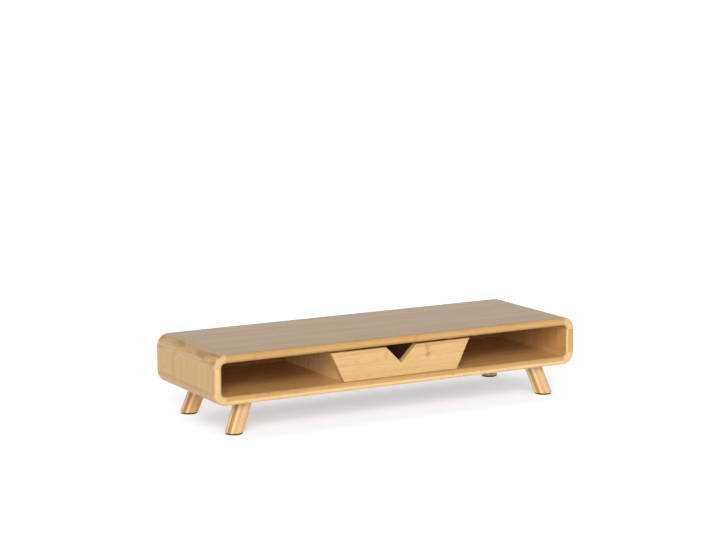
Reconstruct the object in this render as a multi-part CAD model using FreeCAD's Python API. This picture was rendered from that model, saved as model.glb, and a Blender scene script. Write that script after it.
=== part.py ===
import FreeCAD, Part
import math
import os

# Monitor stand with a drawer, in bamboo, in millimetres.
# A long rounded box, open to the front, stands on four splayed round legs.
# Two dividers stand in the box, and a drawer with a trapezoid front runs between them.
# The origin is on the floor under the middle of the stand.
# X runs along the width, Y from the open front (minus) to the back (plus), Z up.

# Box
width = 600.0
depth = 200.0
box_height = 72.0
underside_height = 46.0
wall = 12.5
inner_corner_radius = 6.0
rim_round = 5.0

# Loose tongues that join the corner blocks to the panels
spline_thickness = 4.0
spline_reach = 5.0
spline_stop = 15.0

# Back panel, held in a groove round the inside of the box
back_panel_thickness = 5.0
back_panel_inset = 6.0
back_groove_depth = 3.0
back_groove_clearance = 0.1

# Dividers, housed in stopped grooves in the top and bottom panels
drawer_bay_width = 168.0
divider_thickness = 10.0
divider_groove_depth = 3.0

# Blind dowel holes
dowel_cover = 3.0
dowel_clearance = 0.1
dowel_end_clearance = 0.8

# Legs, measured to the leg's middle where it meets the box
leg_diameter = 25.3
leg_inset_x = 57.5
leg_inset_y = 28.3
leg_slope_x = 21.5
leg_slope_y = 5.4
leg_dowel_diameter = 10.0
leg_dowel_reach = 22.0

# Foot pads
foot_pad_diameter = 24.0
foot_pad_thickness = 2.0

# Drawer front, an overlay board whose lower corners line up with the dividers
front_recess = 4.0
front_thickness = 10.0
front_side_slope = 26.0
front_top_gap = 2.5
front_bottom_gap = 0.3
front_edge_round = 1.0
front_stop_gap = 0.3
notch_width = 50.0
notch_depth = 25.0

# Drawer box, its back housed in the sides and its sides dowelled to the front
drawer_side_gap = 1.0
drawer_running_gap = 0.3
drawer_back_gap = 4.0
drawer_side_thickness = 8.0
drawer_side_height = 38.0
drawer_edge_round = 1.5
drawer_bottom_thickness = 3.0
drawer_bottom_rise = 4.0
drawer_groove_depth = 4.0
drawer_groove_clearance = 0.1
drawer_housing_depth = 3.0
drawer_dowel_diameter = 5.0
drawer_dowel_reach = 18.0
drawer_dowel_margin = 7.0

# Levels and faces that follow from the sizes above
outer_corner_radius = inner_corner_radius + wall
box_bottom = underside_height
box_top = underside_height + box_height
floor_level = box_bottom + wall
ceiling_level = box_top - wall
inner_width = width - 2 * wall
inner_height = box_height - 2 * wall
front_plane = -depth / 2
corner_x = width / 2 - outer_corner_radius
corner_low_z = box_bottom + outer_corner_radius
corner_high_z = box_top - outer_corner_radius
middle_z = (box_bottom + box_top) / 2
back_panel_back = depth / 2 - back_panel_inset
back_panel_front = back_panel_back - back_panel_thickness
drawer_face = front_plane + front_recess
drawer_face_back = drawer_face + front_thickness
divider_front = drawer_face_back + front_stop_gap
divider_inner = drawer_bay_width / 2
divider_outer = divider_inner + divider_thickness

# How near an edge lies to a level to count as being on it
on_level = 0.01

SIDES = {"left": -1, "right": 1}
ENDS = {"front": -1, "back": 1}
ALONG_Y = FreeCAD.Vector(0, 1, 0)


def point(x, y, z):
    return FreeCAD.Vector(x, y, z)


def box_between(x_range, y_range, z_range):
    size = [high - low for low, high in (x_range, y_range, z_range)]
    return Part.makeBox(*size, point(x_range[0], y_range[0], z_range[0]))


def mirrored_x(shape):
    return shape.mirror(point(0, 0, 0), point(1, 0, 0))


def mirrored_z(shape):
    return shape.mirror(point(0, 0, middle_z), point(0, 0, 1))


def rounded_rectangle(length, height, radii):
    """A flat face in the XY plane, centred on the origin. A radius of 0 leaves its corner square."""
    arcs = []
    ends = []
    corners = [(1, 1), (-1, 1), (-1, -1), (1, -1)]
    for turn, ((x_sign, y_sign), radius) in enumerate(zip(corners, radii)):
        centre = point(x_sign * (length / 2 - radius), y_sign * (height / 2 - radius), 0)
        if radius == 0:
            ends.append((centre, centre))
            continue
        arc = Part.makeCircle(radius, centre, point(0, 0, 1), 90 * turn, 90 * turn + 90)
        arcs.append(arc)
        ends.append((arc.firstVertex().Point, arc.lastVertex().Point))
    lines = [Part.makeLine(this[1], following[0]) for this, following in zip(ends, ends[1:] + ends[:1])]
    return Part.Face(Part.Wire(Part.__sortEdges__(arcs + lines)))


def wall_section(x, z, turn):
    """The section of the box's wall, centred at x and z and turned about Y.

    The rims are rounded over, apart from the back one's inner edge.
    """
    face = rounded_rectangle(depth, wall, [rim_round, rim_round, rim_round, 0])
    along_the_box = FreeCAD.Rotation(point(1, 1, 1), 120)
    turned = FreeCAD.Rotation(ALONG_Y, turn)
    face.Placement = FreeCAD.Placement(point(x, 0, z), turned.multiply(along_the_box))
    return face


def standing_slab(outline_width, outline_height, radius, y_range):
    """A board that stands across the box, with round corners, centred on the box's opening."""
    face = rounded_rectangle(outline_width, outline_height, [radius] * 4)
    upright = FreeCAD.Rotation(point(1, 0, 0), 90)
    face.Placement = FreeCAD.Placement(point(0, y_range[1], middle_z), upright)
    return face.extrude(point(0, y_range[0] - y_range[1], 0))


def spline_solids():
    """Tongues across both joints of each corner block, stopped short of the rims."""
    y_range = (front_plane + spline_stop, back_panel_front - spline_stop)
    half = spline_thickness / 2
    wall_z = box_top - wall / 2
    wall_x = width / 2 - wall / 2
    across_x = (corner_x - spline_reach, corner_x + spline_reach)
    across_z = (corner_high_z - spline_reach, corner_high_z + spline_reach)
    beside = box_between(across_x, y_range, (wall_z - half, wall_z + half))
    below = box_between((wall_x - half, wall_x + half), y_range, across_z)
    right = [beside, below, mirrored_z(beside), mirrored_z(below)]
    return right + [mirrored_x(solid) for solid in right]


def back_panel_slab(clearance):
    """The back panel's outline in its groove, drawn in by the clearance."""
    reach = 2 * (back_groove_depth - clearance)
    radius = inner_corner_radius + back_groove_depth - clearance
    y_range = (back_panel_front, back_panel_back)
    return standing_slab(inner_width + reach, inner_height + reach, radius, y_range)


def dowel(start, end, diameter, grow=0.0, grow_ends=0.0):
    """A straight dowel between two points, or its hole when it is grown."""
    axis = end - start
    axis.normalize()
    base = start - axis * grow_ends
    length = (end - start).Length + 2 * grow_ends
    return Part.makeCylinder(diameter / 2 + grow, length, base, axis)


def dowel_set(ends, diameter):
    """The dowels between each pair of points, and the holes that they fill."""
    dowels = [dowel(start, end, diameter) for start, end in ends]
    holes = [dowel(start, end, diameter, dowel_clearance, dowel_end_clearance) for start, end in ends]
    return dowels, Part.makeCompound(holes)


def divider_board(side):
    """A divider, with its top and bottom edges reaching into the panels' grooves."""
    x_range = sorted((side * divider_inner, side * divider_outer))
    z_range = (floor_level - divider_groove_depth, ceiling_level + divider_groove_depth)
    return box_between(x_range, (divider_front, back_panel_front), z_range)


def leg_axis(side, end):
    """The middle of a leg's top, and the direction from there down to the foot."""
    top = point(side * (width / 2 - leg_inset_x), end * (depth / 2 - leg_inset_y), underside_height)
    outward = (math.tan(math.radians(leg_slope_x)), math.tan(math.radians(leg_slope_y)))
    return top, point(side * outward[0], end * outward[1], -1)


def leg_middle_at(side, end, z):
    top, down = leg_axis(side, end)
    return top + down * (underside_height - z)


def leg_solid(side, end):
    """A round leg cut level at the box and at the foot pad."""
    top, down = leg_axis(side, end)
    start = top - down * leg_diameter
    length = down.Length * (underside_height + 2 * leg_diameter)
    round_bar = Part.makeCylinder(leg_diameter / 2, length, start, down)
    level = box_between((-width, width), (-depth, depth), (foot_pad_thickness, underside_height))
    return round_bar.common(level).Solids[0]


def leg_dowel_ends():
    """One dowel along each leg's axis, from inside the leg into the bottom panel."""
    ends = []
    for side in SIDES.values():
        for end in ENDS.values():
            top, down = leg_axis(side, end)
            slant = down.Length
            rim_rise = leg_dowel_diameter / 2 * math.sqrt(1 - 1 / slant ** 2)
            in_panel = wall - dowel_cover - rim_rise
            down.normalize()
            ends.append((top + down * leg_dowel_reach, top - down * (in_panel * slant)))
    return ends


def foot_pad(side, end):
    """A round pad, centred under the leg's foot."""
    middle = leg_middle_at(side, end, foot_pad_thickness)
    return Part.makeCylinder(foot_pad_diameter / 2, foot_pad_thickness, point(middle.x, middle.y, 0))


def polygon_board(corners, y_range):
    """A board whose outline is given by x, z corners, standing across the box."""
    points = [point(x, y_range[0], z) for x, z in corners]
    face = Part.Face(Part.makePolygon(points + points[:1]))
    return face.extrude(point(0, y_range[1] - y_range[0], 0))


def drawer_front_board():
    """A trapezoid board with a V notch in its top edge and a softened front edge."""
    low = floor_level + front_bottom_gap
    high = ceiling_level - front_top_gap
    top_half = divider_outer + (high - low) * math.tan(math.radians(front_side_slope))
    outline = [
        (-divider_outer, low),
        (divider_outer, low),
        (top_half, high),
        (notch_width / 2, high),
        (0, high - notch_depth),
        (-notch_width / 2, high),
        (-top_half, high),
    ]
    board = polygon_board(outline, (drawer_face, drawer_face_back))
    face_edges = [edge for edge in board.Edges if edge.BoundBox.YMax < drawer_face + on_level]
    return board.makeFillet(front_edge_round, face_edges)


# Places in the drawer's box
drawer_outer = divider_inner - drawer_side_gap
drawer_inner = drawer_outer - drawer_side_thickness
drawer_low = floor_level + drawer_running_gap
drawer_high = drawer_low + drawer_side_height
drawer_end = back_panel_front - drawer_back_gap
drawer_back_face = drawer_end - drawer_side_thickness
groove_low = drawer_low + drawer_bottom_rise
groove_high = groove_low + drawer_bottom_thickness


def drawer_bottom_board(clearance):
    """The drawer's bottom in its grooves, drawn in by the clearance."""
    reach = drawer_groove_depth - clearance
    x_range = (-drawer_inner - reach, drawer_inner + reach)
    y_range = (drawer_face_back - reach, drawer_back_face + reach)
    return box_between(x_range, y_range, (groove_low, groove_high))


def softened_top(board, high):
    """The board with the long edges of its top rounded over."""
    box = board.BoundBox
    along = "x" if box.XLength > box.YLength else "y"
    edges = []
    for edge in board.Edges:
        start, end = (vertex.Point for vertex in edge.Vertexes)
        runs_along = abs(getattr(end, along) - getattr(start, along)) > 1
        if runs_along and edge.BoundBox.ZMin > high - on_level:
            edges.append(edge)
    return board.makeFillet(drawer_edge_round, edges)


def drawer_back_board():
    """The drawer's back, whose ends reach into the sides' housings."""
    half = drawer_inner + drawer_housing_depth
    return box_between((-half, half), (drawer_back_face, drawer_end), (drawer_low, drawer_high))


def drawer_dowel_ends():
    """Two dowels from each side into the front."""
    ends = []
    y_range = (drawer_face_back - (front_thickness - dowel_cover), drawer_face_back + drawer_dowel_reach)
    for side in SIDES.values():
        x = side * (drawer_inner + drawer_side_thickness / 2)
        for z in (groove_high + drawer_dowel_margin, drawer_high - drawer_dowel_margin):
            ends.append(tuple(point(x, y, z) for y in y_range))
    return ends


def box_parts():
    """The eight wall pieces, the back panel, the dividers and what joins them."""
    parts = {}
    splines = spline_solids()
    dividers = {name: divider_board(side) for name, side in SIDES.items()}
    leg_dowels, leg_holes = dowel_set(leg_dowel_ends(), leg_dowel_diameter)
    cuts = splines + [back_panel_slab(0.0)]
    panel_cuts = cuts + list(dividers.values())

    top = wall_section(-corner_x, box_top - wall / 2, 0).extrude(point(2 * corner_x, 0, 0))
    side_z = corner_high_z - corner_low_z
    side = wall_section(width / 2 - wall / 2, corner_low_z, 90).extrude(point(0, 0, side_z))
    corner_start = wall_section(corner_x, box_top - wall / 2, 0)
    corner = corner_start.revolve(point(corner_x, 0, corner_high_z), ALONG_Y, 90)

    parts["top_panel"] = top.cut(panel_cuts)
    parts["bottom_panel"] = mirrored_z(top).cut(panel_cuts + [leg_holes])
    parts["side_panel_right"] = side.cut(cuts)
    parts["corner_top_right"] = corner.cut(cuts)
    parts["corner_bottom_right"] = mirrored_z(parts["corner_top_right"])
    for name in ("side_panel", "corner_top", "corner_bottom"):
        parts[name + "_left"] = mirrored_x(parts[name + "_right"])
    parts["back_panel"] = back_panel_slab(back_groove_clearance)
    parts["corner_splines"] = Part.makeCompound(splines)

    for name, divider in dividers.items():
        parts["divider_" + name] = divider
    parts["leg_dowels"] = Part.makeCompound(leg_dowels)
    for end_name, end in ENDS.items():
        for side_name, side_sign in SIDES.items():
            place = end_name + "_" + side_name
            parts["leg_" + place] = leg_solid(side_sign, end).cut(leg_holes)
            parts["foot_pad_" + place] = foot_pad(side_sign, end)
    return parts


def drawer_parts():
    """The drawer's front, box and bottom, and the dowels that join them."""
    parts = {}
    bottom_groove = drawer_bottom_board(0.0)
    dowels, holes = dowel_set(drawer_dowel_ends(), drawer_dowel_diameter)

    parts["drawer_front"] = drawer_front_board().cut([bottom_groove, holes])
    back = drawer_back_board()
    side_y = (drawer_face_back, drawer_end)
    side = box_between((drawer_inner, drawer_outer), side_y, (drawer_low, drawer_high))
    side = softened_top(side, drawer_high)
    parts["drawer_side_right"] = side.cut([bottom_groove, holes, back])
    parts["drawer_side_left"] = mirrored_x(parts["drawer_side_right"])
    parts["drawer_back"] = back.cut(bottom_groove)
    parts["drawer_bottom"] = drawer_bottom_board(drawer_groove_clearance)
    parts["drawer_dowels"] = Part.makeCompound(dowels)
    return parts


os.makedirs("parts", exist_ok=True)
all_parts = {**box_parts(), **drawer_parts()}
for name, shape in all_parts.items():
    shape.exportStep("parts/" + name + ".step")
    print(name, len(shape.Solids), shape.isValid(), round(shape.Volume / 1000, 1))
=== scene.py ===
# %% [markdown]
# # A bamboo monitor stand with a drawer
#
# The object is a long rounded box of laminated bamboo, open to the front, on four splayed
# round legs. A drawer with a V notch slides between two dividers. The CAD model gives every
# board, in metres, with the floor at z = 0, the open front towards -Y and the width along X.
# This notebook gives those boards their wood, builds again the rounded pieces that deserve
# a finer shape, and sets a plain studio round them.

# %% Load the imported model
import bpy
import math
from mathutils import Matrix, Vector


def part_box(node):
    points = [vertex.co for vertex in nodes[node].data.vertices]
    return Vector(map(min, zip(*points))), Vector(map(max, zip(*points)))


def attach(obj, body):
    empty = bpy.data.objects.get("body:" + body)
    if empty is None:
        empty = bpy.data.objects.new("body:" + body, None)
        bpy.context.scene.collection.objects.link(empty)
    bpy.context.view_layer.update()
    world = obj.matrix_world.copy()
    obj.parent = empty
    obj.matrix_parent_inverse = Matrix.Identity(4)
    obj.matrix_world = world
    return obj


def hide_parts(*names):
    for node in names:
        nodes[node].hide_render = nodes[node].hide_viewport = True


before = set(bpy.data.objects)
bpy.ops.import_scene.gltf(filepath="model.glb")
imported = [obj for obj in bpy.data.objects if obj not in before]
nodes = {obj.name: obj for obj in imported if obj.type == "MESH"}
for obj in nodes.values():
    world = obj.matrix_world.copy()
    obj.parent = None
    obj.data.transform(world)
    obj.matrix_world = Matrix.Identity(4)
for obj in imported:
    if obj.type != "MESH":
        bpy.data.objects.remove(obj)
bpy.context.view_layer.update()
scene = bpy.context.scene

# %% [markdown]
# ## The camera
#
# A product photograph of furniture is often taken from far away with a long lens, which
# keeps the box's long edges nearly parallel. The camera's angles, distance and focal length
# come from the stand's straight edges: where the photograph shows an edge, the lens has to
# put it. The axes are written out as vectors, so that no rounding of angles moves them.

# %% Place the camera
PHOTO_WIDTH = 716
SENSOR_WIDTH = 36.0
FOCAL_PIXELS = 2103.33
VIEW_DISTANCE = 3.09632
VIEW_YAW = math.radians(28.93)
VIEW_PITCH = math.radians(8.98)
VIEW_ROLL = math.radians(-0.35)
VIEW_TARGET = Vector((-0.01712, 0.0, 0.20108))
HALF_PIXEL = 0.5 / PHOTO_WIDTH

forward = Vector((
    math.sin(VIEW_YAW) * math.cos(VIEW_PITCH),
    math.cos(VIEW_YAW) * math.cos(VIEW_PITCH),
    -math.sin(VIEW_PITCH),
))
level_right = Vector((math.cos(VIEW_YAW), -math.sin(VIEW_YAW), 0.0))
level_up = level_right.cross(forward)
right = math.cos(VIEW_ROLL) * level_right + math.sin(VIEW_ROLL) * level_up
up = -math.sin(VIEW_ROLL) * level_right + math.cos(VIEW_ROLL) * level_up

lens = bpy.data.cameras.new("camera")
lens.sensor_width = SENSOR_WIDTH
lens.lens = FOCAL_PIXELS / PHOTO_WIDTH * SENSOR_WIDTH
lens.shift_x = -HALF_PIXEL
lens.shift_y = HALF_PIXEL
camera = bpy.data.objects.new("camera", lens)
scene.collection.objects.link(camera)
placed = Matrix((right, up, -forward)).transposed().to_4x4()
placed.translation = VIEW_TARGET - forward * VIEW_DISTANCE
camera.matrix_world = placed
scene.camera = camera
print("camera at", [round(v, 3) for v in placed.translation], "lens", round(lens.lens, 1))

# %% [markdown]
# ## Small helpers for node trees
#
# A procedural material is a tree of small nodes. These helpers add a node, join it to what
# feeds it and hand back its output, so that the steps below read like sums. Each input may
# be another node's output or a plain number.

# %% Helpers that add and join nodes


def feed(tree, socket, value):
    """Joins an output to a socket, or sets the socket to a plain value."""
    if isinstance(value, bpy.types.NodeSocket):
        tree.links.new(value, socket)
    else:
        socket.default_value = value


def add(tree, kind, inputs=(), **settings):
    """Adds a node, sets its settings and feeds its inputs, given by name or by number."""
    node = tree.nodes.new(kind)
    for name, value in settings.items():
        setattr(node, name, value)
    for key, value in dict(inputs).items():
        feed(tree, node.inputs[key], value)
    return node


def sums(tree, operation, *values, clamp=False):
    """One arithmetic step on one, two or three numbers."""
    inputs = dict(enumerate(values))
    return add(tree, "ShaderNodeMath", inputs, operation=operation, use_clamp=clamp).outputs[0]


def vector(tree, operation, *values):
    """One arithmetic step on vectors that gives a vector."""
    inputs = dict(enumerate(values))
    return add(tree, "ShaderNodeVectorMath", inputs, operation=operation).outputs["Vector"]


def measure(tree, operation, *values):
    """One arithmetic step on vectors that gives a number, such as a length."""
    inputs = dict(enumerate(values))
    return add(tree, "ShaderNodeVectorMath", inputs, operation=operation).outputs["Value"]


def parts(tree, place):
    """A vector's three numbers, to be picked by number or by letter."""
    return add(tree, "ShaderNodeSeparateXYZ", {0: place}).outputs


def joined(tree, numbers):
    """A vector from numbers given by their position."""
    return add(tree, "ShaderNodeCombineXYZ", numbers).outputs[0]


print("helpers", [step.__name__ for step in (feed, add, sums, vector, measure, parts, joined)])

# %% [markdown]
# ## Helpers for patterns and colours
#
# Nearly every pattern below is a noise that is stretched along the grain and then turned
# into a mark by a soft threshold. Colours are written as a painter reads them off a screen
# and turned into the linear light that a shader works in.

# %% Helpers for patterns and colours


def ramp(tree, value, low, high, to_low=0.0, to_high=1.0):
    """Turns the range low..high of a value into to_low..to_high, with soft ends."""
    inputs = {0: value, 1: low, 2: high, 3: to_low, 4: to_high}
    node = add(tree, "ShaderNodeMapRange", inputs, interpolation_type="SMOOTHSTEP", clamp=True)
    return node.outputs[0]


def stretched(tree, place, scales, shift=(0.0, 0.0, 0.0)):
    """A place multiplied by three scales and then shifted."""
    return vector(tree, "MULTIPLY_ADD", place, scales, shift)


def noise(tree, place, detail=2.0, roughness=0.5):
    """Smooth noise between 0 and 1 at a place, the same in every run."""
    inputs = {"Vector": place, "Scale": 1.0, "Detail": detail, "Roughness": roughness}
    return add(tree, "ShaderNodeTexNoise", inputs).outputs["Fac"]


def mixed(tree, amount, first, second, blend="MIX"):
    """Two colours mixed by an amount."""
    inputs = {0: amount, 6: first, 7: second}
    return add(tree, "ShaderNodeMix", inputs, data_type="RGBA", blend_type=blend).outputs[2]


def colour(red, green, blue):
    """A colour as read off a screen, 0 to 255, turned to linear light."""
    linear = []
    for value in (red, green, blue):
        level = value / 255
        linear.append(level / 12.92 if level <= 0.04045 else ((level + 0.055) / 1.055) ** 2.4)
    return (*linear, 1.0)


print("middle grey in linear light:", round(colour(128, 128, 128)[0], 3))

# %% [markdown]
# ## Laminated bamboo: the board's own frame
#
# Bamboo boards are glued from long split strips. A picture of them wrapped on the boards
# would stretch at the edges. A solid pattern in the object's own space doesn't: the same
# strips show as lines on a board's face and as plies on its edge, as in real wood. So the
# first step turns a point's place so that X runs along the grain, whichever way the board
# lies. A leaning leg brings its own frame, as an attribute of its mesh.
#
# The second step tells long faces from cut ends. On a cut end the strips' long marks are
# only seen as dots, so nearly everything drawn along the grain has to fade there.

# %% Find a point's place on its board
GRAIN_TURNS = {
    "X": (0.0, 0.0, 0.0),
    "Y": (0.0, 0.0, -math.pi / 2),
    "Z": (0.0, math.pi / 2, 0.0),
}
GRAIN_AXES = {"X": (1.0, 0.0, 0.0), "Y": (0.0, 1.0, 0.0), "Z": (0.0, 0.0, 1.0)}
END_GRAIN_FADE = (0.45, 0.85)
END_GRAIN_SHARE = 0.2


def board_frame(tree, grain, shift, attribute):
    """A point's place in the object, and the same place with X turned along the grain."""
    if attribute:
        place = add(tree, "ShaderNodeAttribute", attribute_name=attribute).outputs["Vector"]
    else:
        place = add(tree, "ShaderNodeTexCoord").outputs["Object"]
    inputs = {"Vector": place, "Rotation": GRAIN_TURNS[grain], "Location": shift}
    return place, add(tree, "ShaderNodeMapping", inputs).outputs[0]


def along_the_grain(tree, grain):
    """1 on faces that run along the grain, END_GRAIN_SHARE on the cut ends."""
    normal = add(tree, "ShaderNodeNewGeometry").outputs["Normal"]
    facing = sums(tree, "ABSOLUTE", measure(tree, "DOT_PRODUCT", normal, GRAIN_AXES[grain]))
    return ramp(tree, facing, *END_GRAIN_FADE, 1.0, END_GRAIN_SHARE)


print("the grain can run along", sorted(GRAIN_TURNS))

# %% [markdown]
# ## Strips and plies
#
# Dividing the place across the grain by the strip's width and rounding down gives every
# strip a number. The same in depth numbers the plies, and each ply is pushed sideways a
# little, so that the seams don't line up. White noise turns the pair of numbers into a
# tone for that strip and into a jump of its pattern, so that no two strips match. How far
# a point is from the nearest number's edge draws the thin glue lines.

# %% Number the strips and find their seams
PLY_STAGGER = 0.37
STRIP_JUMP = (9.0, 9.0, 9.0)
SEAM_FADE = (0.00008, 0.00035)


def near_edge(tree, counted, width):
    """How far a point is from the edge of its strip, in metres."""
    return sums(tree, "MULTIPLY", sums(tree, "PINGPONG", counted, 0.5), width)


def strip_pattern(tree, board, strip, ply, seed):
    """Each strip's tone, each strip's own shifted place, and where the seams are."""
    along, across, deep = parts(tree, board)
    plies = sums(tree, "DIVIDE", deep, ply)
    ply_number = sums(tree, "FLOOR", plies)
    strips = sums(tree, "DIVIDE", across, strip)
    strips = sums(tree, "MULTIPLY_ADD", ply_number, PLY_STAGGER, strips)
    nearest = sums(tree, "MINIMUM", near_edge(tree, strips, strip), near_edge(tree, plies, ply))
    seam = ramp(tree, nearest, *SEAM_FADE, 1.0, 0.0)
    numbers = joined(tree, {0: sums(tree, "FLOOR", strips), 1: ply_number, 2: seed})
    chance = add(tree, "ShaderNodeTexWhiteNoise", {"Vector": numbers}, noise_dimensions="3D")
    jump = stretched(tree, chance.outputs["Color"], STRIP_JUMP)
    return chance.outputs["Value"], vector(tree, "ADD", board, jump), seam


print("seams fade out within", SEAM_FADE[1] * 1000, "mm")

# %% [markdown]
# ## Fibres and cane nodes
#
# Four noises stretched along the grain make what is seen inside a strip: a broad change of
# tone, fine fibres, short dark bundles and, on mottled cane, wide soft patches. A noise is
# stretched by giving it a small scale along the grain and a large one across.
#
# Every 20 to 30 cm a cane has a node, a thin dark line with speckles round it. Each strip
# comes from another piece of cane, so its nodes are shifted by its own tone number.

# %% Draw the fibres and the cane nodes
BROAD_SCALES = (5.0, 90.0, 90.0)
FIBRE_SCALES = (14.0, 900.0, 900.0)
BUNDLE_SCALES = (70.0, 1700.0, 1700.0)
PATCH_SCALES = (26.0, 115.0, 115.0)
WOBBLE_SCALES = (30.0, 260.0, 260.0)
NODE_WOBBLE = 0.006
NODE_SHIFTS = 7.0
NODE_LINE_FADE = (0.0003, 0.0022)
NODE_ZONE_FADE = (0.002, 0.009)


def fibres(tree, board, own):
    """The four noises of a strip: broad tone, fibres, dark bundles and soft patches."""
    broad = noise(tree, stretched(tree, own, BROAD_SCALES))
    fibre = noise(tree, stretched(tree, own, FIBRE_SCALES), detail=3.0, roughness=0.6)
    bundles = noise(tree, stretched(tree, own, BUNDLE_SCALES), detail=1.0)
    patches = noise(tree, stretched(tree, board, PATCH_SCALES), roughness=0.6)
    return broad, fibre, bundles, patches


def cane_nodes(tree, board, own, strip_tone, spacing):
    """The thin lines of the cane's nodes, and the wider zones round them."""
    wobble = noise(tree, stretched(tree, own, WOBBLE_SCALES))
    bent = sums(tree, "MULTIPLY_ADD", wobble, NODE_WOBBLE, parts(tree, board)[0])
    turns = sums(tree, "MULTIPLY_ADD", strip_tone, NODE_SHIFTS, sums(tree, "DIVIDE", bent, spacing))
    from_node = near_edge(tree, turns, spacing)
    line = ramp(tree, from_node, *NODE_LINE_FADE, 1.0, 0.0)
    zone = ramp(tree, from_node, *NODE_ZONE_FADE, 1.0, 0.0)
    return line, zone


print("fibres are", round(FIBRE_SCALES[1] / FIBRE_SCALES[0]), "times longer than wide")

# %% [markdown]
# ## The wood's colour
#
# Bamboo changes its tone from strip to strip, broadly along a strip, and from fibre to
# fibre. These tones are added up round a middle of 0.5, weaker on the cut ends, and the sum
# is read from a colour ramp with a light, a middle and a dark stop. Three colours picked
# from the wood keep every tone in between natural, which plain darkening wouldn't.

# %% Read the wood's colour from its tones
HONEY = ((241, 204, 144), (229, 186, 121), (204, 155, 89))
STOP_PLACES = (0.88, 0.50, 0.12)
MIDDLE = 0.5


def wood_colour(tree, tones, lengthwise, layers):
    """The wood's colour, from patterns round the middle, each with its own contrast."""
    tone = 0.0
    for pattern, contrast in layers:
        off_middle = sums(tree, "SUBTRACT", pattern, MIDDLE)
        tone = sums(tree, "MULTIPLY_ADD", off_middle, contrast, tone)
    reader = tree.nodes.new("ShaderNodeValToRGB")
    stops = reader.color_ramp.elements
    stops.new(MIDDLE)
    for stop, place, shade in zip(reversed(list(stops)), STOP_PLACES, tones):
        stop.position, stop.color = place, colour(*shade)
    feed(tree, reader.inputs[0], sums(tree, "MULTIPLY_ADD", tone, lengthwise, MIDDLE))
    return reader.outputs[0]


print("plain honey bamboo runs from", HONEY[2], "to", HONEY[0])

# %% [markdown]
# ## Painted light and shade on the rim
#
# The rounded front rim gets paler and darker bands: a painted highlight where a rounding faces the
# light, and painted shade where it faces away. A band is given as a low and a high limit, a shade
# and a strength. It is measured upwards on level boards and sideways on upright ones, and it ends
# just behind the rim, where the flat face begins.

# %% Paint light and shade on the rim in bands
RIM_FADE = (-0.0965, -0.0945)
PAINTED_BAND_FADE = 0.0004


def rim_light_and_shade(tree, place, wood, bands, along):
    """The wood with bands of painted highlight and painted shade on its rounded front rim."""
    if not bands:
        return wood
    axes = parts(tree, place)
    on_rim = ramp(tree, axes["Y"], *RIM_FADE, 1.0, 0.0)
    for low, high, shade, strength in bands:
        above = ramp(tree, axes[along], low - PAINTED_BAND_FADE, low + PAINTED_BAND_FADE)
        below = ramp(tree, axes[along], high - PAINTED_BAND_FADE, high + PAINTED_BAND_FADE, strength, 0.0)
        share = sums(tree, "MULTIPLY", on_rim, sums(tree, "MULTIPLY", above, below))
        # each band mixes painted light or painted shade into the wood's colour
        wood = mixed(tree, share, wood, shade)
    return wood


print("the bands on the rim end at y =", RIM_FADE[1], "m")

# %% [markdown]
# ## Spots in known places
#
# A few cane nodes stand out, and a maker who copies a piece of furniture looks where they
# are. Each is given as a centre, a reach and a strength. Close to the centre a fine noise
# turns the wood tan, speck by speck. Mixing towards tan keeps the spots warm, while
# darkening them would turn them grey.

# %% Turn the wood tan in known spots
CANE_TAN = colour(190, 134, 62)
SPECK_SCALES = (420.0, 420.0, 560.0)
SPECK_LEVELS = (0.42, 0.60)
SPOT_FADE = (0.35, 1.0)
BROKEN_SHARE = 0.7


def broken_up(tree, specks):
    """Most of a mark breaks into specks, the rest of it stays whole."""
    return sums(tree, "MULTIPLY_ADD", specks, BROKEN_SHARE, 1.0 - BROKEN_SHARE)


def spotted(tree, place, wood, spots):
    """The wood with speckled tan spots in known places."""
    if not spots:
        return wood
    specks = ramp(tree, noise(tree, stretched(tree, place, SPECK_SCALES)), *SPECK_LEVELS)
    for centre, reach, strength in spots:
        scales = [1.0 / length for length in reach]
        shift = [-value / length for value, length in zip(centre, reach)]
        distance = measure(tree, "LENGTH", stretched(tree, place, scales, shift))
        spot = ramp(tree, distance, *SPOT_FADE, strength, 0.0)
        share = sums(tree, "MULTIPLY", spot, broken_up(tree, specks))
        wood = mixed(tree, share, wood, CANE_TAN)
    return wood


print("specks are about", round(1000 / SPECK_SCALES[0], 1), "mm wide")

# %% [markdown]
# ## Seams, nodes, flecks and patches
#
# These marks darken the wood towards a warm brown. Each is a pattern between 0 and 1 with
# its own strength. Added up they would turn black where they cross, so at each place only
# the strongest one counts.

# %% Darken the wood where it is marked
FLECK_BROWN = colour(150, 103, 62)


def darkened(tree, wood, marks):
    """The wood with dark marks, given as pairs of a pattern and a strength."""
    shade = 0.0
    for pattern, strength in marks:
        shade = sums(tree, "MAXIMUM", shade, sums(tree, "MULTIPLY", pattern, strength))
    return mixed(tree, shade, wood, mixed(tree, 1.0, wood, FLECK_BROWN, "MULTIPLY"))


print("marks darken to", [round(value, 2) for value in FLECK_BROWN[:3]], "of the wood's light")

# %% [markdown]
# ## Lacquer and relief
#
# Real bamboo furniture has a clear satin lacquer, so the shader gets a coat. Seen flat it
# hardly shows, but along the top board it mirrors the pale studio, which is why the top
# looks greyer than the front. Soft smudges vary the coat's gloss. Seams lie a little lower
# than the wood, and fibres and node lines stand out a little: those go into the bump.

# %% Lacquer the wood and give it a relief
WOOD_ROUGHNESS = (0.56, 0.42)
FIBRE_LEVELS = (0.3, 0.7)
SMUDGE_SCALES = (16.0, 16.0, 16.0)
SMUDGE_LEVELS = (0.35, 0.65)
SMUDGE_SHARES = (0.92, 1.12)
RELIEF = 0.00025
RELIEF_STRENGTH = 0.25
SEAM_RELIEF, FIBRE_RELIEF, NODE_RELIEF = -1.0, 0.5, 0.6


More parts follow.
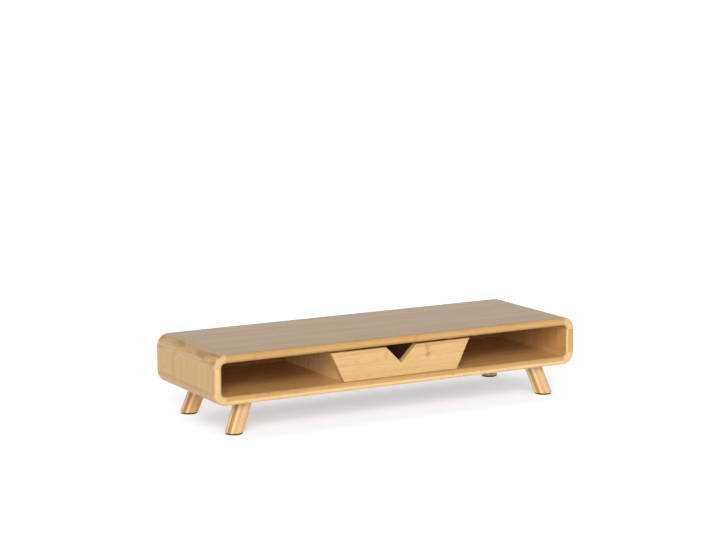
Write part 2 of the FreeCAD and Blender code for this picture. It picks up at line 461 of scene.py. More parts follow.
def lacquered(tree, shader, place, fibre, coat, coat_roughness):
    """Gives the shader the fibres' gloss and a clear coat with soft smudges."""
    feed(tree, shader.inputs["Roughness"], ramp(tree, fibre, *FIBRE_LEVELS, *WOOD_ROUGHNESS))
    shader.inputs["Coat Weight"].default_value = coat
    smudges = noise(tree, stretched(tree, place, SMUDGE_SCALES), detail=3.0)
    ends = [coat_roughness * share for share in SMUDGE_SHARES]
    feed(tree, shader.inputs["Coat Roughness"], ramp(tree, smudges, *SMUDGE_LEVELS, *ends))


def in_relief(tree, shader, height, distance, strength):
    """Gives the shader a bump from a height between about 0 and 1."""
    inputs = {"Strength": strength, "Distance": distance, "Height": height}
    feed(tree, shader.inputs["Normal"], add(tree, "ShaderNodeBump", inputs).outputs[0])


print("relief", RELIEF * 1000, "mm deep")

# %% [markdown]
# ## The bamboo builder
#
# Each board could have a material drawn by hand, but then a change to the wood would have
# to be made many times. One function puts the steps together instead, and the boards differ
# only in a few numbers: which way the grain runs, how wide strips and plies are, and how
# strong each mark is. A seed moves each board's pattern, as if it came from another cane.

# %% Build a bamboo finish
SEED_STEPS = (0.37, 0.113, 0.071)
SPECKLE_LEVELS = (0.52, 0.64)
FLECK_LEVELS = (0.60, 0.72)
PATCH_LEVELS = (0.50, 0.66)
NODE_DARK = 0.45
NODE_ZONE_DARK = 0.27


def bamboo(name, grain="X", strip=0.020, ply=0.0042, seed=0.0, tones=HONEY, flecks=0.30,
           mottling=0.04, node_spacing=0.26, seam_dark=0.14, strip_contrast=0.28,
           broad_contrast=0.7, fibre_contrast=0.32, coat=1.0, coat_roughness=0.22,
           attribute=None, shift=None, spots=(), bands=(), bands_along="Z", joint_dark=0.0):
    """A clear-lacquered bamboo with its strips along the grain axis."""
    material = bpy.data.materials.new(name)
    material.use_nodes = True
    tree = material.node_tree
    shader = tree.nodes["Principled BSDF"]

    shift = shift or [step * seed for step in SEED_STEPS]
    place, board = board_frame(tree, grain, shift, attribute)
    lengthwise = along_the_grain(tree, grain)
    strip_tone, own, seam = strip_pattern(tree, board, strip, ply, seed)
    broad, fibre, bundles, patches = fibres(tree, board, own)
    node_line, node_zone = cane_nodes(tree, board, own, strip_tone, node_spacing)

    wood = wood_colour(tree, tones, lengthwise, (
        (strip_tone, strip_contrast), (broad, broad_contrast), (fibre, fibre_contrast)))
    wood = rim_light_and_shade(tree, place, wood, bands, bands_along)
    wood = spotted(tree, place, wood, spots)

    speckle = ramp(tree, bundles, *SPECKLE_LEVELS)
    marks = [
        (seam, seam_dark),
        (sums(tree, "MULTIPLY", node_line, broken_up(tree, speckle)), NODE_DARK),
        (sums(tree, "MULTIPLY", node_zone, speckle), NODE_ZONE_DARK),
        (sums(tree, "MULTIPLY", ramp(tree, bundles, *FLECK_LEVELS), lengthwise), flecks),
        (sums(tree, "MULTIPLY", ramp(tree, patches, *PATCH_LEVELS), lengthwise), mottling),
    ]
    if joint_dark:
        joint = add(tree, "ShaderNodeAttribute", attribute_name="joint").outputs["Fac"]
        marks.append((joint, joint_dark))
    feed(tree, shader.inputs["Base Color"], darkened(tree, wood, marks))

    lacquered(tree, shader, place, fibre, coat, coat_roughness)
    height = sums(tree, "MULTIPLY", fibre, FIBRE_RELIEF)
    height = sums(tree, "MULTIPLY_ADD", seam, SEAM_RELIEF, height)
    height = sums(tree, "MULTIPLY_ADD", node_line, NODE_RELIEF, height)
    in_relief(tree, shader, height, RELIEF, RELIEF_STRENGTH)
    return material


print("cane nodes darken by", NODE_DARK, "and the zones round them by", NODE_ZONE_DARK)

# %% [markdown]
# ## Tones, spots and bands of the boards
#
# The corner blocks are cut from darker, mottled cane and the back panel is the darkest, while the
# dividers are pale. The speckled cane nodes stand to the right and the left of the drawer's notch,
# with two small ones on the left side. The rims carry painted light and shade. The top board's rim
# is painted brown below and tan above as painted shade. The bottom board's rim is painted paler
# below as a painted highlight. The corner blocks' rims get a weaker painted highlight. The upright
# rims get a painted pale highlight, with painted dusky shade at their edges.

# %% Note the tones, spots and bands
CORNER_TONES = ((236, 197, 140), (221, 178, 117), (192, 146, 86))
TOP_TONES = ((233, 192, 128), (219, 172, 104), (194, 144, 80))
SIDE_TONES = ((232, 193, 133), (220, 175, 111), (196, 147, 82))
BOTTOM_TONES = ((230, 188, 126), (214, 168, 102), (188, 140, 76))
DIVIDER_TONES = ((252, 222, 168), (245, 208, 150), (228, 184, 122))
BACK_TONES = ((206, 156, 98), (184, 134, 76), (154, 106, 54))
LEG_TONES = ((244, 206, 148), (222, 175, 108), (190, 140, 78))
FRONT_TONES = ((236, 197, 137), (223, 178, 113), (199, 148, 82))

FRONT_SPOTS = (
    ((0.0440, -0.096, 0.0965), (0.0066, 0.05, 0.0066), 1.0),
    ((0.0445, -0.096, 0.0860), (0.0062, 0.05, 0.0066), 0.95),
    ((-0.0250, -0.096, 0.0925), (0.0056, 0.05, 0.0070), 0.7),
)
SIDE_SPOTS = (
    ((-0.300, 0.0375, 0.0843), (0.05, 0.0034, 0.0055), 0.6),
    ((-0.300, -0.0111, 0.0885), (0.05, 0.0034, 0.0050), 0.45),
)

# rim colours: a pale painted highlight for roundings that face the light, and a dusky painted shade
# for roundings that face away
PAINTED_RIM_LIGHT, PAINTED_RIM_SHADE = colour(250, 214, 158), colour(172, 145, 106)
TOP_RIM_SHADE_TAN, TOP_RIM_SHADE_BROWN = colour(205, 152, 74), colour(190, 148, 84)
# the top board's rim: painted shade, deepest on its lower half, which faces down
TOP_BANDS = ((0.0, 0.1094, TOP_RIM_SHADE_BROWN, 0.9), (0.1094, 1.0, TOP_RIM_SHADE_TAN, 0.5))
# the bottom board's lower rim: a painted highlight of the light coming up from the floor
BOTTOM_BANDS = ((0.0, 0.0522, PAINTED_RIM_LIGHT, 0.85),)
# the corner blocks' rims: a weaker painted highlight
CORNER_BANDS = ((0.0, 1.0, PAINTED_RIM_LIGHT, 0.3),)
LOW_CORNER_BANDS = ((0.0, 1.0, PAINTED_RIM_LIGHT, 0.5),)
# the upright rims: a painted highlight on the front and on the right panel's inner rounding, and
# painted shade at the outer edges
SIDE_BANDS = (
    (-1.0, -0.2980, PAINTED_RIM_SHADE, 0.2), (-0.2980, -0.2910, PAINTED_RIM_LIGHT, 0.6),
    (-0.2910, -0.2860, PAINTED_RIM_SHADE, 0.3), (0.2860, 0.2890, PAINTED_RIM_LIGHT, 1.0),
    (0.2890, 1.0, PAINTED_RIM_SHADE, 0.2),
)
print("known spots:", len(FRONT_SPOTS), "on the drawer and", len(SIDE_SPOTS), "on the side")

# %% [markdown]
# ## One finish for each kind of board
#
# The top and bottom boards, the drawer's front and the back have their grain along the
# width. The side panels and dividers have it upright, the corner blocks and the drawer's
# sides have it along the depth. The drawer's front is shifted so that its one long seam
# lies at the right height.

# %% Mix the finishes
DRAWER_SEAM = 0.0838
DRAWER_PLY = 0.0148
CORNER_STRIP = 0.0052
LEG_STRIP = 0.0058

level = dict(grain="X", seed=1.0, broad_contrast=0.5, fibre_contrast=0.24)
upright = dict(grain="Z", strip=0.0065, ply=0.0200, seam_dark=0.06, strip_contrast=0.13,
               broad_contrast=0.45, fibre_contrast=0.24, flecks=0.20)
deep = dict(grain="Y", strip=CORNER_STRIP, ply=CORNER_STRIP, tones=CORNER_TONES,
            strip_contrast=0.20)
# bands= gives a board's rim its painted light and shade
finishes = {
    "top": bamboo("bamboo top board", tones=TOP_TONES, bands=TOP_BANDS, **level),
    "bottom": bamboo("bamboo bottom board", tones=BOTTOM_TONES, bands=BOTTOM_BANDS, coat=0.5,
                     **level),
    "side": bamboo("bamboo upright", seed=2.0, tones=SIDE_TONES, coat=0.2, spots=SIDE_SPOTS,
                   bands=SIDE_BANDS, bands_along="X", **upright),
    "corner": bamboo("bamboo corner block", seed=3.0, flecks=0.45, mottling=0.38,
                     bands=CORNER_BANDS, joint_dark=0.5, coat=0.6, **deep),
    "low corner": bamboo("bamboo lower corner block", seed=13.0, mottling=0.12,
                         bands=LOW_CORNER_BANDS, joint_dark=0.4, coat=0.15, **deep),
    "back": bamboo("bamboo back panel", seed=4.0, tones=BACK_TONES, coat=0.3),
    "divider": bamboo("bamboo divider", seed=5.0, tones=DIVIDER_TONES, coat=0.3, **upright),
    "front": bamboo("bamboo drawer front", ply=DRAWER_PLY, seed=6.0, tones=FRONT_TONES,
                    spots=FRONT_SPOTS, node_spacing=4.0, seam_dark=0.26, fibre_contrast=0.4,
                    shift=(0.0, 0.0, DRAWER_PLY - DRAWER_SEAM % DRAWER_PLY)),
    "drawer side": bamboo("bamboo drawer side", "Y", ply=0.0190, seed=7.0, coat=0.3),
    "drawer across": bamboo("bamboo drawer back and bottom", seed=10.0, coat=0.3),
    "leg": bamboo("bamboo leg", "Z", strip=LEG_STRIP, ply=LEG_STRIP, seed=8.0,
                  tones=LEG_TONES, strip_contrast=1.1, broad_contrast=0.5,
                  coat_roughness=0.12, attribute="bar"),
    "dowel": bamboo("plain dowel wood", "Y", strip=0.030, ply=0.030, seed=9.0, coat=0.0,
                    node_spacing=2.0, flecks=0.15),
}
print("finishes", sorted(finishes))

# %% [markdown]
# ## Black rubber
#
# The foot pads are thin black discs. Rubber is never one flat black: it has a fine grain,
# duller and shinier patches, and pale dust in the scuffs near its lower edge.

# %% Mix the rubber
RUBBER_GRAIN = (2600.0, 2600.0, 2600.0)
RUBBER_PATCHES = (160.0, 160.0, 160.0)
RUBBER_BLACKS = (colour(16, 16, 17), colour(34, 33, 33))
RUBBER_LEVELS = (0.3, 0.7)
RUBBER_ROUGHNESS = (0.55, 0.80)
RUBBER_RELIEF, RUBBER_BUMP = 0.0001, 0.3
DUST = colour(120, 114, 104)
DUST_HEIGHT = 0.0009
DUST_LEVELS = (0.45, 0.7)
DUST_SHARE = 0.3

rubber = bpy.data.materials.new("black rubber")
rubber.use_nodes = True
tree = rubber.node_tree
shader = tree.nodes["Principled BSDF"]
place = add(tree, "ShaderNodeTexCoord").outputs["Object"]
grain = noise(tree, stretched(tree, place, RUBBER_GRAIN))
patches = noise(tree, stretched(tree, place, RUBBER_PATCHES), detail=3.0)
low_edge = ramp(tree, parts(tree, place)["Z"], 0.0, DUST_HEIGHT, DUST_SHARE, 0.0)
dust = sums(tree, "MULTIPLY", ramp(tree, patches, *DUST_LEVELS), low_edge)
black = mixed(tree, patches, *RUBBER_BLACKS)
feed(tree, shader.inputs["Base Color"], mixed(tree, dust, black, DUST))
dullness = ramp(tree, patches, *RUBBER_LEVELS, *RUBBER_ROUGHNESS)
feed(tree, shader.inputs["Roughness"], dullness)
in_relief(tree, shader, grain, RUBBER_RELIEF, RUBBER_BUMP)
print("rubber nodes", len(tree.nodes))

# %% [markdown]
# ## Dress the boards
#
# Each board's name starts with the kind of board it is, so a short table gives every one
# its finish. The first start that fits is the one that counts.

# %% Dress the boards that keep their CAD shape
FINISH_OF = {
    "top_panel": "top", "bottom_panel": "bottom", "side_panel": "side", "corner_top": "corner",
    "corner_bottom": "low corner", "corner_splines": "dowel", "back_panel": "back",
    "divider": "divider", "leg_dowels": "dowel", "leg": "leg", "drawer_front": "front",
    "drawer_dowels": "dowel", "drawer_side": "drawer side", "drawer": "drawer across",
}


def finish_for(name):
    """The finish of a board, by the start of its name. What isn't wood is rubber."""
    kind = next((start for start in FINISH_OF if name.startswith(start)), None)
    return finishes[FINISH_OF[kind]] if kind else rubber


for name, board in nodes.items():
    board.data.materials.clear()
    board.data.materials.append(finish_for(name))
print(len(nodes), "boards dressed")

# %% [markdown]
# ## Pieces that follow a rule
#
# The turned pieces and the corner blocks each have a simple rule: a circle that travels
# along a line, and the wall's rounded section that travels round a quarter turn. Geometry
# Nodes can hold such a rule once, with named sizes, and make every copy from it. The helpers
# below start a tree with its inputs, and end it with real meshes that carry their finish.

# %% Helpers that begin and end a geometry tree
SOCKET_KINDS = {
    "size": "NodeSocketFloat", "count": "NodeSocketInt", "place": "NodeSocketVector",
    "finish": "NodeSocketMaterial",
}


def geometry_tree(name, inputs):
    """A geometry tree with named inputs. Hands back the tree and its inputs by name."""
    tree = bpy.data.node_groups.new(name, "GeometryNodeTree")
    for label, kind in inputs.items():
        tree.interface.new_socket(name=label, in_out="INPUT", socket_type=SOCKET_KINDS[kind])
    tree.interface.new_socket(name="Mesh", in_out="OUTPUT", socket_type="NodeSocketGeometry")
    given = tree.nodes.new("NodeGroupInput")
    return tree, {label: given.outputs[label] for label in inputs}


def end_tree(tree, mesh, attribute, kind, value, position, finish):
    """Notes an attribute, moves the points, and ends with real meshes in their finish."""
    noted = add(tree, "GeometryNodeStoreNamedAttribute", {
        "Geometry": mesh, "Name": attribute, "Value": value}, data_type=kind, domain="POINT")
    inputs = {"Geometry": noted.outputs[0], "Position": position}
    moved = add(tree, "GeometryNodeSetPosition", inputs)
    real = add(tree, "GeometryNodeRealizeInstances", {0: moved.outputs[0]})
    inputs = {"Geometry": real.outputs[0], "Material": finish}
    dressed = add(tree, "GeometryNodeSetMaterial", inputs)
    result = tree.nodes.new("NodeGroupOutput")
    feed(tree, result.inputs["Mesh"], dressed.outputs[0])


def scaled(tree, direction, amount):
    """A vector made longer or shorter by an amount."""
    inputs = {0: direction, "Scale": amount}
    return add(tree, "ShaderNodeVectorMath", inputs, operation="SCALE").outputs["Vector"]


def crowded(tree, share):
    """Spreads even steps from 0 to 1 so that they crowd together at both ends."""
    half_turn = sums(tree, "COSINE", sums(tree, "MULTIPLY", share, math.pi))
    return sums(tree, "MULTIPLY_ADD", half_turn, -0.5, 0.5)


print("sockets", sorted(SOCKET_KINDS))

# %% [markdown]
# ## From a rule to a plain mesh
#
# A modifier runs the tree on an empty mesh. Its inputs are set by each socket's own
# identifier, before the object is first evaluated. The evaluated result is then copied to a
# plain mesh, with its points where they belong, and the helper object goes.

# %% Helpers that grow and shade a piece
SMOOTH_ANGLE = math.radians(40)


def grown(tree, name, values, place=Matrix()):
    """A plain mesh object made by a tree from the values given, put in its place."""
    holder = bpy.data.objects.new(name + "_rule", bpy.data.meshes.new(name + "_rule"))
    scene.collection.objects.link(holder)
    rule = holder.modifiers.new("rule", "NODES")
    rule.node_group = tree
    for socket in tree.interface.items_tree:
        if socket.in_out == "INPUT" and socket.name in values:
            rule[socket.identifier] = values[socket.name]
    depsgraph = bpy.context.evaluated_depsgraph_get()
    depsgraph.update()
    mesh = bpy.data.meshes.new_from_object(holder.evaluated_get(depsgraph), depsgraph=depsgraph)
    bpy.data.objects.remove(holder)
    mesh.name = name
    mesh.transform(place)
    mesh.shade_smooth()
    mesh.set_sharp_from_angle(angle=SMOOTH_ANGLE)
    piece = bpy.data.objects.new(name, mesh)
    scene.collection.objects.link(piece)
    return piece


print("edges sharper than", round(math.degrees(SMOOTH_ANGLE)), "degrees stay crisp")

# %% [markdown]
# ## Turned pieces: the round bar
#
# A leg is a round bar that leans outwards and is cut level at both ends, so that it meets
# the box and the floor squarely. A cylinder could be turned and cut by hand four times, but
# one rule keeps all four alike. It starts from an upright cylinder of radius and height 1.
# Its rings crowd together at the two ends, where the edges are rounded: there a quarter
# circle tells how far each ring is drawn in.

# %% The bar's rings
turned, size = geometry_tree("turned piece", {
    "Foot": "place", "Top": "place", "Radius": "size", "Foot easing": "size",
    "Top easing": "size", "Rounds": "count", "Rings": "count", "Finish": "finish",
})
cylinder = add(turned, "GeometryNodeMeshCylinder", {
    "Vertices": size["Rounds"], "Side Segments": size["Rings"], "Radius": 1.0, "Depth": 1.0,
}, fill_type="NGON").outputs["Mesh"]
unit = add(turned, "GeometryNodeInputPosition").outputs[0]
rise = crowded(turned, sums(turned, "ADD", parts(turned, unit)[2], 0.5))
axis = vector(turned, "SUBTRACT", size["Top"], size["Foot"])
length = measure(turned, "LENGTH", axis)
tall = parts(turned, axis)[2]


def edge_inset(height, easing):
    """How far a quarter-round edge draws a ring in at a height above its end."""
    left = sums(turned, "MAXIMUM", sums(turned, "SUBTRACT", easing, height), 0.0)
    squares = sums(turned, "SUBTRACT", sums(turned, "MULTIPLY", easing, easing),
                   sums(turned, "MULTIPLY", left, left))
    return sums(turned, "SUBTRACT", easing, sums(turned, "SQRT", squares))


from_foot = sums(turned, "MULTIPLY", rise, tall)
from_top = sums(turned, "SUBTRACT", tall, from_foot)
inset = sums(turned, "ADD", edge_inset(from_foot, size["Foot easing"]),
             edge_inset(from_top, size["Top easing"]))
ring_radius = sums(turned, "SUBTRACT", size["Radius"], inset)
print("the bar so far:", len(turned.nodes), "nodes")

# %% [markdown]
# ## Turned pieces: the lean
#
# Cut level, a leaning round bar shows an oval: the rule stretches each ring along the lean
# by the slant, and then shifts it to its place on the axis. It also writes down each
# point's place on the bar as an attribute named "bar", so that the wood's strips lean with
# the leg instead of standing upright.

# %% The bar's lean
LEVEL = (1.0, 1.0, 0.0)

flat = vector(turned, "MULTIPLY", unit, LEVEL)
ring = scaled(turned, flat, ring_radius)
lean = vector(turned, "NORMALIZE", vector(turned, "MULTIPLY", axis, LEVEL))
slant = sums(turned, "SUBTRACT", sums(turned, "DIVIDE", length, tall), 1.0)
stretch = sums(turned, "MULTIPLY", measure(turned, "DOT_PRODUCT", ring, lean), slant)
centre = vector(turned, "ADD", size["Foot"], scaled(turned, axis, rise))
final = vector(turned, "ADD", vector(turned, "ADD", ring, scaled(turned, lean, stretch)), centre)
upwards = joined(turned, {2: sums(turned, "MULTIPLY", rise, length)})
on_bar = vector(turned, "ADD", ring, upwards)
end_tree(turned, cylinder, "bar", "FLOAT_VECTOR", on_bar, final, size["Finish"])
print("turned piece rule:", len(turned.nodes), "nodes")

# %% [markdown]
# ## Four legs and four pads
#
# The front and back legs mirror each other, and so do left and right, so two loops with a
# sign for each direction make all four. The CAD model gives the slopes: 21.5 degrees
# sideways and 5.4 degrees along the depth. A leg's foot has a softened edge that catches a
# thin line of light above the dark pad. The pad is the same rule, short and upright.

# %% Make the legs and pads
LEG = {"Radius": 0.01265, "Foot easing": 0.0011, "Top easing": 0.0, "Rounds": 72, "Rings": 40,
       "Finish": finishes["leg"]}
PAD = {"Radius": 0.012, "Foot easing": 0.0005, "Top easing": 0.0002, "Rounds": 64, "Rings": 14,
       "Finish": rubber}
LEG_SLOPE_X = math.tan(math.radians(21.5))
LEG_SLOPE_Y = math.tan(math.radians(5.4))
LEG_TOP = (0.2425, 0.0717, 0.046)
PAD_TOP = 0.002

drop = LEG_TOP[2] - PAD_TOP
for end_name, end in (("front", -1), ("back", 1)):
    for side_name, side in (("left", -1), ("right", 1)):
        place = end_name + "_" + side_name
        leg_top = Vector((side * LEG_TOP[0], end * LEG_TOP[1], LEG_TOP[2]))
        foot = leg_top + Vector((side * LEG_SLOPE_X * drop, end * LEG_SLOPE_Y * drop, -drop))
        floor_spot = Vector((foot.x, foot.y, 0.0))
        leg = grown(turned, "turned_leg_" + place, {**LEG, "Foot": foot, "Top": leg_top})
        pad = grown(turned, "soft_pad_" + place, {**PAD, "Foot": floor_spot, "Top": foot})
        for piece, node, slot in ((leg, "leg_", "bamboo_leg"), (pad, "foot_pad_", "foot_pad")):
            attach(piece, "stand")
            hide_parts(node + place)
            low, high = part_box(node + place)
            reach = [round((top - bottom) * 1000, 1) for bottom, top in zip(low, high)]
            print(piece.name, "stands for a piece of", reach, "mm")

# %% [markdown]
# ## The corner blocks: section and path
#
# Each corner of the box is a separate quarter-round block, glued between two boards and
# planed flush, with its edges rounded over like the rest of the rim. A bevelled ring cut in
# four would do, but a sweep keeps the wall's true section all the way round. The rule
# rounds three of the section's four edges: only the back inner one stays square, where the
# back panel meets it. In the sweep each point remembers its place in the section and how
# far along the turn it is.

# %% The corner block's section and path
WALL = 0.0125
CORNER_RADIUS = 0.0185
BACK_INNER_CORNER = 1
EDGE_POINTS = 12

swept, size = geometry_tree("corner block", {
    "Middle radius": "size", "Depth": "size", "Wall": "size", "Rounding": "size",
    "Joint easing": "size", "Joint reach": "size", "Steps": "count", "Finish": "finish",
})
section = add(swept, "GeometryNodeCurvePrimitiveQuadrilateral", {
    "Width": size["Wall"], "Height": size["Depth"]}).outputs[0]
corner_number = add(swept, "GeometryNodeInputIndex").outputs[0]
square = add(swept, "FunctionNodeCompare", {2: corner_number, 3: BACK_INNER_CORNER},
             data_type="INT", operation="EQUAL").outputs[0]
edge_radius = add(swept, "GeometryNodeSwitch", {0: square, 1: size["Rounding"], 2: 0.0},
                  input_type="FLOAT").outputs[0]
rounded = add(swept, "GeometryNodeFilletCurve", {
    "Curve": section, "Radius": edge_radius, "Count": EDGE_POINTS}, mode="POLY").outputs[0]


def noted_on(geometry, name, kind, value):
    """Keeps a value with a geometry's points, so that it survives the sweep."""
    keep = swept.nodes.new("GeometryNodeCaptureAttribute")
    keep.capture_items.new(kind, name)
    feed(swept, keep.inputs["Geometry"], geometry)
    feed(swept, keep.inputs[name], value)
    return keep.outputs["Geometry"], keep.outputs[name]


position = add(swept, "GeometryNodeInputPosition").outputs[0]
profile, section_place = noted_on(rounded, "section", "VECTOR", position)
path = add(swept, "GeometryNodeCurveArc", {"Resolution": size["Steps"], "Radius": 1.0,
                                           "Start Angle": 0.0, "Sweep Angle": math.pi / 2})
factor = add(swept, "GeometryNodeSplineParameter").outputs[0]
path, travelled = noted_on(path.outputs[0], "travelled", "FLOAT", factor)
shell = add(swept, "GeometryNodeCurveToMesh", {
    "Curve": path, "Profile Curve": profile, "Fill Caps": True}).outputs[0]
shell = add(swept, "GeometryNodeFlipFaces", {0: shell}).outputs[0]
print("the block so far:", len(swept.nodes), "nodes")

# %% [markdown]
# ## The corner blocks: the bend and the joint line
#
# A point's distance from the corner's middle and its share of the turn give its place on a
# circle. At its two ends the block is drawn in by a fraction of a millimetre: that is the
# fine joint line that shows on the real box wherever two pieces meet. Only steps that crowd
# together there can hold so short a bend. An attribute named "joint" darkens the line.

# %% The corner block's bend
QUARTER = math.pi / 2

turn_share = crowded(swept, travelled)
angle = sums(swept, "MULTIPLY", turn_share, QUARTER)
joint_side = sums(swept, "MINIMUM", turn_share, sums(swept, "SUBTRACT", 1.0, turn_share))
arc_length = sums(swept, "MULTIPLY", size["Middle radius"], QUARTER)
joint_distance = sums(swept, "MULTIPLY", joint_side, arc_length)
reached = sums(swept, "DIVIDE", joint_distance, size["Joint reach"])
near_joint = sums(swept, "SUBTRACT", 1.0, reached, clamp=True)
eased_off = sums(swept, "MULTIPLY", near_joint, near_joint)
drawn_in = sums(swept, "MULTIPLY", eased_off, size["Joint easing"])
section_axes = parts(swept, section_place)


def eased(value, whole):
    """One of the section's two sizes, made smaller by the easing at both sides."""
    share = sums(swept, "DIVIDE", sums(swept, "MULTIPLY", drawn_in, 2.0), whole)
    return sums(swept, "MULTIPLY", value, sums(swept, "SUBTRACT", 1.0, share))


out = sums(swept, "ADD", eased(section_axes[0], size["Wall"]), size["Middle radius"])
final = joined(swept, {
    0: sums(swept, "MULTIPLY", out, sums(swept, "SINE", angle)),
    1: eased(section_axes[1], size["Depth"]),
    2: sums(swept, "MULTIPLY", out, sums(swept, "COSINE", angle)),
})
end_tree(swept, shell, "joint", "FLOAT", near_joint, final, size["Finish"])
print("corner block rule:", len(swept.nodes), "nodes")

# %% [markdown]
# ## Four corner blocks from one rule
#
# The rule makes the upper right block. Quarter turns about the Y axis give the other
# three, each moved to its own corner. A closed mesh whose faces point outwards has a
# positive volume and no open edges, which is a quick way to find a block turned inside out.

# %% Make the four corner blocks
import bmesh

QUARTER_TURNS = {"top_right": 0, "bottom_right": 1, "bottom_left": 2, "top_left": 3}
box_low, box_high = (Vector(v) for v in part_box("bottom_panel"))
top_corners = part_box("top_panel")[1][2] - CORNER_RADIUS
low_corners = box_low.z + CORNER_RADIUS
BLOCK = {"Middle radius": CORNER_RADIUS - WALL / 2, "Depth": box_high.y - box_low.y,
         "Wall": WALL, "Rounding": 0.005, "Joint easing": 0.00007, "Joint reach": 0.0004,
         "Steps": 41}

for corner, turns in QUARTER_TURNS.items():
    x = box_high.x if corner.endswith("right") else -box_high.x
    z = top_corners if corner.startswith("top") else low_corners
    place = Matrix.Translation((x, 0.0, z)) @ Matrix.Rotation(turns * QUARTER, 4, "Y")
    values = {**BLOCK, "Finish": finish_for("corner_" + corner)}
    block = grown(swept, "corner_block_" + corner, values, place)
    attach(block, "stand")
    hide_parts("corner_" + corner)
    check = bmesh.new()
    check.from_mesh(block.data)
    volume = check.calc_volume(signed=True)
    open_edges = sum(not edge.is_manifold for edge in check.edges)
    check.free()
    print(block.name, "cm3", round(volume * 1e6, 1), "open edges", open_edges,
          "vertices", len(block.data.vertices))

# %% [markdown]
# ## The sky
#
# A product picture is taken in a pale room. The sky stands for its walls: brighter near the
# horizon than overhead. The lacquered top sees the horizon in its mirror, so the sky is a
# little brighter for mirrored rays, and it is plain white where the camera sees it.

# %% Make the sky
SKY_LOW = 0.48
SKY_HIGH = 0.26
SKY_FADE = (0.1, 0.7)
MIRRORED_GAIN = 0.22
WHITE = (1.0, 1.0, 1.0, 1.0)

scene.view_settings.view_transform = "Standard"
world = bpy.data.worlds.new("studio")
world.use_nodes = True
sky = world.node_tree
backdrop = sky.nodes["Background"]
backdrop.inputs["Color"].default_value = WHITE
direction = add(sky, "ShaderNodeTexCoord").outputs["Generated"]
brightness = ramp(sky, parts(sky, direction)["Z"], *SKY_FADE, SKY_LOW, SKY_HIGH)
rays = add(sky, "ShaderNodeLightPath").outputs
gain = sums(sky, "MULTIPLY_ADD", rays["Is Glossy Ray"], MIRRORED_GAIN, 1.0)
brightness = sums(sky, "MULTIPLY", brightness, gain)
feed(sky, backdrop.inputs["Strength"], sums(sky, "MAXIMUM", brightness, rays["Is Camera Ray"]))
scene.world = world
print("sky from", SKY_LOW, "at the horizon to", SKY_HIGH, "overhead")

# %% [markdown]
# ## The lamps
#
# The front light is a sun with a very wide disc at the front left, so that the front is
# bright and the shadows are soft. A weaker fill stands further to the left, where it reaches
# the inner walls of the open compartments, and a faint one keeps the right end from going
# dull. Wide discs would turn the whole lacquered top white when it is seen from behind, so
# these three light surfaces but aren't mirrored. A much smaller and weaker lamp is mirrored:
# it makes the thin glints along the round legs.

# %% Hang the lamps


def sun(name, azimuth, elevation, strength, disc, mirrored):
    """A sun that shines from an azimuth, 0 at the front and negative to the left."""
    lamp = bpy.data.lights.new(name, "SUN")
    lamp.energy = strength * math.pi
    lamp.angle = math.radians(disc)
    holder = bpy.data.objects.new(name, lamp)
    side, rise = math.radians(azimuth), math.radians(elevation)
    towards = Vector((math.sin(side) * math.cos(rise), -math.cos(side) * math.cos(rise),
                      math.sin(rise)))
    holder.rotation_euler = towards.to_track_quat("Z", "Y").to_euler()
    holder.visible_glossy = mirrored
    scene.collection.objects.link(holder)
    return holder


WIDE, NARROW = 40, 12

front_light = sun("front light", -25, 25, 0.50, WIDE, False)
left_fill = sun("left fill", -48, 22, 0.18, WIDE, False)
right_fill = sun("right fill", 60, 25, 0.08, WIDE, False)
glint = sun("glint", -27, 34, 0.07, NARROW, True)
print("lamps:", [lamp.name for lamp in (front_light, left_fill, right_fill, glint)])

# %% [markdown]
# ## The floor
#
# The floor has two faces. For light that bounces on to the object it is plain white paint.
# For the camera, and in mirrors, it is a glowing white that stays pure white in the open and still
# keeps the object's soft shadow. Wood throws orange light down on a white floor. Under the stand's
# front half, where the wood reflects most, the glow is weaker and cool. This is a painted shadow
# that deepens the real one, and a painted cool tint that covers the orange light, so that the
# shadow is a neutral grey that ends close to the object. Within a hand's width of that patch the
# glow turns white and stronger.
# Seen from below the floor is clear, so that the underside can be looked at.

# %% Lay the floor
FLOOR_REACH = 60.0
FLOOR_BOUNCE = (0.90, 0.90, 0.90, 1.0)
FLOOR_SHADED = (0.86, 0.86, 0.86, 1.0)
# the glow under the stand is weaker and cool: a painted shadow and a painted tint
GLOW_IN_PAINTED_SHADOW = 0.40
GLOW_OPEN = 0.60
PAINTED_SHADOW_TINT = (0.85, 1.0, 1.12, 1.0)
FROM_PAINTED_SHADOW_MIDDLE = (0.0, 0.04, 0.0)
PAINTED_SHADOW_HALF = (0.25, 0.06, 0.0)
GLOW_FADE = (0.0, 0.08)
PAINTED_TINT_FADE = (0.0, 0.12)

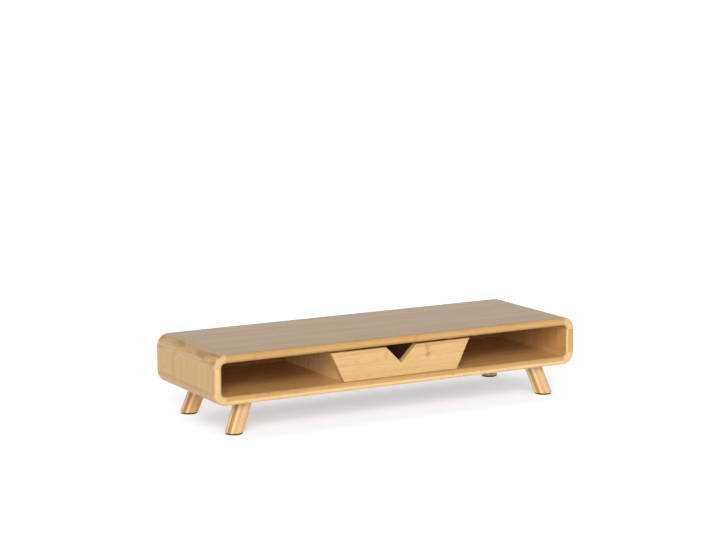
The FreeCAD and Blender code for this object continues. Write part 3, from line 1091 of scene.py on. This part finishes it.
floor_mesh = bpy.data.meshes.new("floor")
signs = ((-1, -1), (1, -1), (1, 1), (-1, 1))
corners = [(x * FLOOR_REACH, y * FLOOR_REACH, 0.0) for x, y in signs]
floor_mesh.from_pydata(corners, [], [(0, 1, 2, 3)])
floor = bpy.data.objects.new("floor", floor_mesh)
scene.collection.objects.link(floor)

paint = bpy.data.materials.new("white floor")
paint.use_nodes = True
tree = paint.node_tree
tree.nodes.remove(tree.nodes["Principled BSDF"])
bounced = add(tree, "ShaderNodeBsdfDiffuse", {"Color": FLOOR_BOUNCE}).outputs[0]
shaded = add(tree, "ShaderNodeBsdfDiffuse", {"Color": FLOOR_SHADED}).outputs[0]
place = add(tree, "ShaderNodeTexCoord").outputs["Object"]
# a patch under the stand's front half, shifted forward, holds the painted shadow and the painted
# tint
place = vector(tree, "ABSOLUTE", vector(tree, "ADD", place, FROM_PAINTED_SHADOW_MIDDLE))
beyond = vector(tree, "MAXIMUM", vector(tree, "SUBTRACT", place, PAINTED_SHADOW_HALF))
away = measure(tree, "LENGTH", beyond)
painted_cool_tint = mixed(tree, ramp(tree, away, *PAINTED_TINT_FADE), PAINTED_SHADOW_TINT, WHITE)
strength = ramp(tree, away, *GLOW_FADE, GLOW_IN_PAINTED_SHADOW, GLOW_OPEN)
glow = add(tree, "ShaderNodeEmission", {"Color": painted_cool_tint, "Strength": strength}).outputs[0]
white = add(tree, "ShaderNodeAddShader", {0: shaded, 1: glow}).outputs[0]
rays = add(tree, "ShaderNodeLightPath").outputs
seen = sums(tree, "MAXIMUM", rays["Is Camera Ray"], rays["Is Glossy Ray"])
seen = sums(tree, "MAXIMUM", seen, rays["Is Transmission Ray"])
above = add(tree, "ShaderNodeMixShader", {0: seen, 1: bounced, 2: white}).outputs[0]
clear = add(tree, "ShaderNodeBsdfTransparent").outputs[0]
from_below = add(tree, "ShaderNodeNewGeometry").outputs["Backfacing"]
both = add(tree, "ShaderNodeMixShader", {0: from_below, 1: above, 2: clear}).outputs[0]
feed(tree, tree.nodes["Material Output"].inputs[0], both)
floor_mesh.materials.append(paint)
print("floor", 2 * FLOOR_REACH, "m wide")
